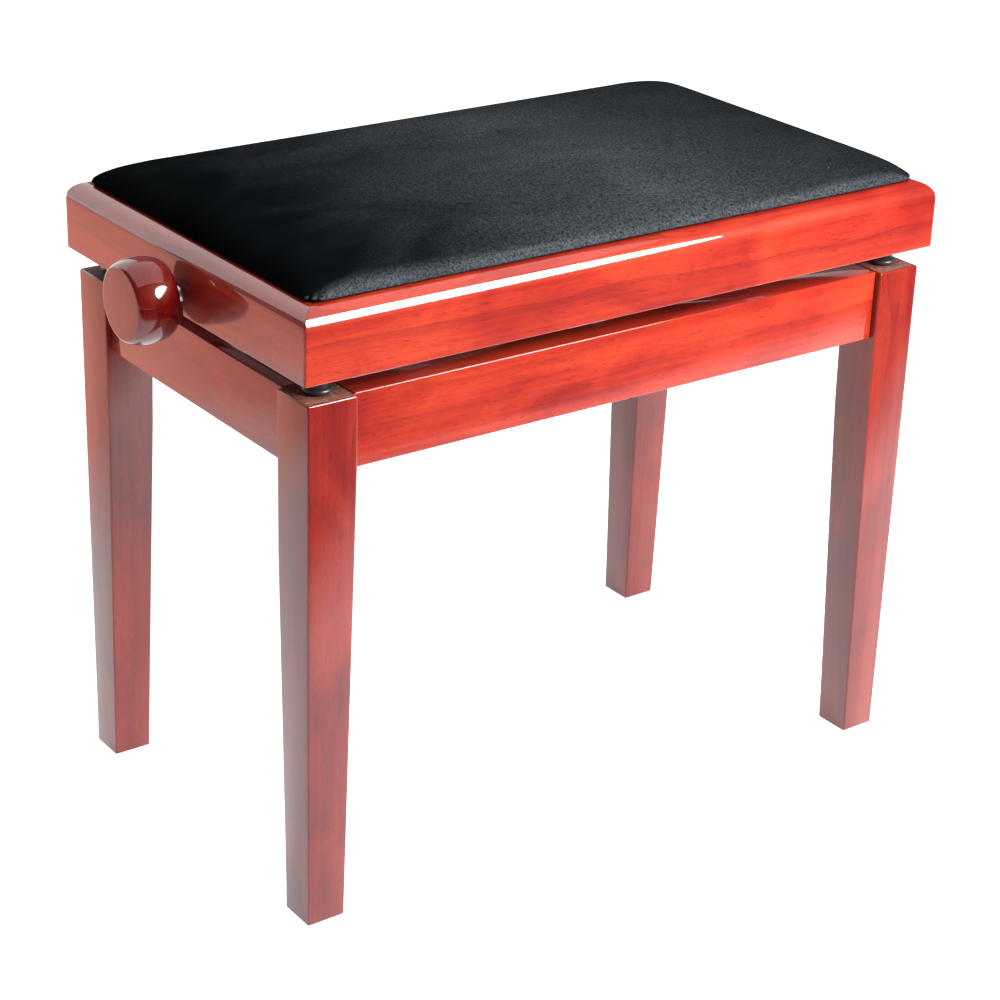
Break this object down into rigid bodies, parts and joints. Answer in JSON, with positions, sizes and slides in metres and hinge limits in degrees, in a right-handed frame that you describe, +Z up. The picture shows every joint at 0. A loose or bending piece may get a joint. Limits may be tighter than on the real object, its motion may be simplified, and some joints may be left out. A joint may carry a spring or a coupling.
{
  "type": "piano bench",
  "caption": "Rectangular wooden piano bench on tapered legs, with a drop-in velvet pad and a scissor lift raised and lowered by a turned side knob.",
  "frame": {"origin": "on the floor, under the middle of the whole part's box; the knob sticks out at -X, so the middle of the seat is 21.5 mm towards +X", "axes": "+X along the bench's length, away from the knob; +Y from the front to the rear; +Z up"},
  "size_m": [0.598, 0.328, 0.4853],
  "materials": {
    "red_lacquer": "hardwood stained red mahogany under a high-gloss clear lacquer",
    "raw_wood": "sawn hardwood, unfinished",
    "plywood": "plain plywood",
    "black_velvet": "short-pile black velvet over foam",
    "black_rubber": "smooth moulded rubber",
    "black_steel": "black powder-coated steel",
    "zinc_steel": "zinc-plated steel",
    "nylon": "natural nylon",
    "bronze": "machined bronze"
  },
  "bodies": {
    "base": {"leg_front_left": "red_lacquer", "leg_front_right": "red_lacquer", "leg_rear_left": "red_lacquer", "leg_rear_right": "red_lacquer", "apron_front": "red_lacquer", "apron_rear": "red_lacquer", "apron_left": "red_lacquer", "apron_right": "red_lacquer", "corner_block_front_left": "raw_wood", "corner_block_front_right": "raw_wood", "corner_block_rear_left": "raw_wood", "corner_block_rear_right": "raw_wood", "leg_bolt_front_left": "zinc_steel", "leg_bolt_front_right": "zinc_steel", "leg_bolt_rear_left": "zinc_steel", "leg_bolt_rear_right": "zinc_steel", "bumper_front_left": "black_rubber", "bumper_front_right": "black_rubber", "bumper_rear_left": "black_rubber", "bumper_rear_right": "black_rubber", "base_channel_front": "black_steel", "base_channel_rear": "black_steel", "lower_pivot_lug_front": "zinc_steel", "lower_pivot_lug_rear": "zinc_steel"},
    "outer_arms": {"outer_arm_front": "black_steel", "outer_arm_rear": "black_steel", "lower_pivot_rod": "zinc_steel", "centre_rod": "zinc_steel"},
    "inner_arms": {"inner_arm_front": "black_steel", "inner_arm_rear": "black_steel", "lower_slide_rod": "zinc_steel", "upper_pivot_rod": "zinc_steel", "lower_slide_bush_front": "nylon", "lower_slide_bush_rear": "nylon"},
    "seat": {"seat_rail_front": "red_lacquer", "seat_rail_rear": "red_lacquer", "seat_rail_left": "red_lacquer", "seat_rail_right": "red_lacquer", "seat_board": "plywood", "seat_cushion": "black_velvet", "seat_channel_front": "black_steel", "seat_channel_rear": "black_steel", "upper_pivot_lug_front": "zinc_steel", "upper_pivot_lug_rear": "zinc_steel", "spindle_bracket": "black_steel", "bracket_screw_front": "zinc_steel", "bracket_screw_rear": "zinc_steel"},
    "traverse": {"traverse_bar": "black_steel", "spindle_nut": "bronze", "upper_slide_bush_front": "nylon", "upper_slide_bush_rear": "nylon"},
    "screw": {"spindle": "zinc_steel", "thrust_collar": "zinc_steel", "height_knob": "red_lacquer"}
  },
  "joints": [
    {"name": "scissor_lift", "type": "hinge", "parent": "base", "child": "outer_arms", "pos_m": [0.1694, 0, 0.375], "axis": [0, 1, 0], "range_deg": [0, 20.4]},
    {"name": "scissor_cross", "type": "hinge", "parent": "outer_arms", "child": "inner_arms", "pos_m": [0.0215, 0, 0.4], "axis": [0, 1, 0], "range_deg": [-40.8, 0]},
    {"name": "seat_level", "type": "hinge", "parent": "inner_arms", "child": "seat", "pos_m": [0.1694, 0, 0.425], "axis": [0, 1, 0], "range_deg": [0, 20.4]},
    {"name": "traverse_level", "type": "hinge", "parent": "outer_arms", "child": "traverse", "pos_m": [-0.1264, 0, 0.425], "axis": [0, 1, 0], "range_deg": [-20.4, 0]},
    {"name": "knob_turn", "type": "hinge", "parent": "seat", "child": "screw", "pos_m": [-0.221, 0, 0.425], "axis": [1, 0, 0], "range_deg": [0, 4320]}
  ],
  "couplings": [
    {"joint": "scissor_cross", "follows": "scissor_lift", "ratio": -2},
    {"joint": "seat_level", "follows": "scissor_lift", "ratio": 1},
    {"joint": "traverse_level", "follows": "scissor_lift", "ratio": -1},
    {"joint": "knob_turn", "follows": "scissor_lift", "ratio": 211.7}
  ]
}
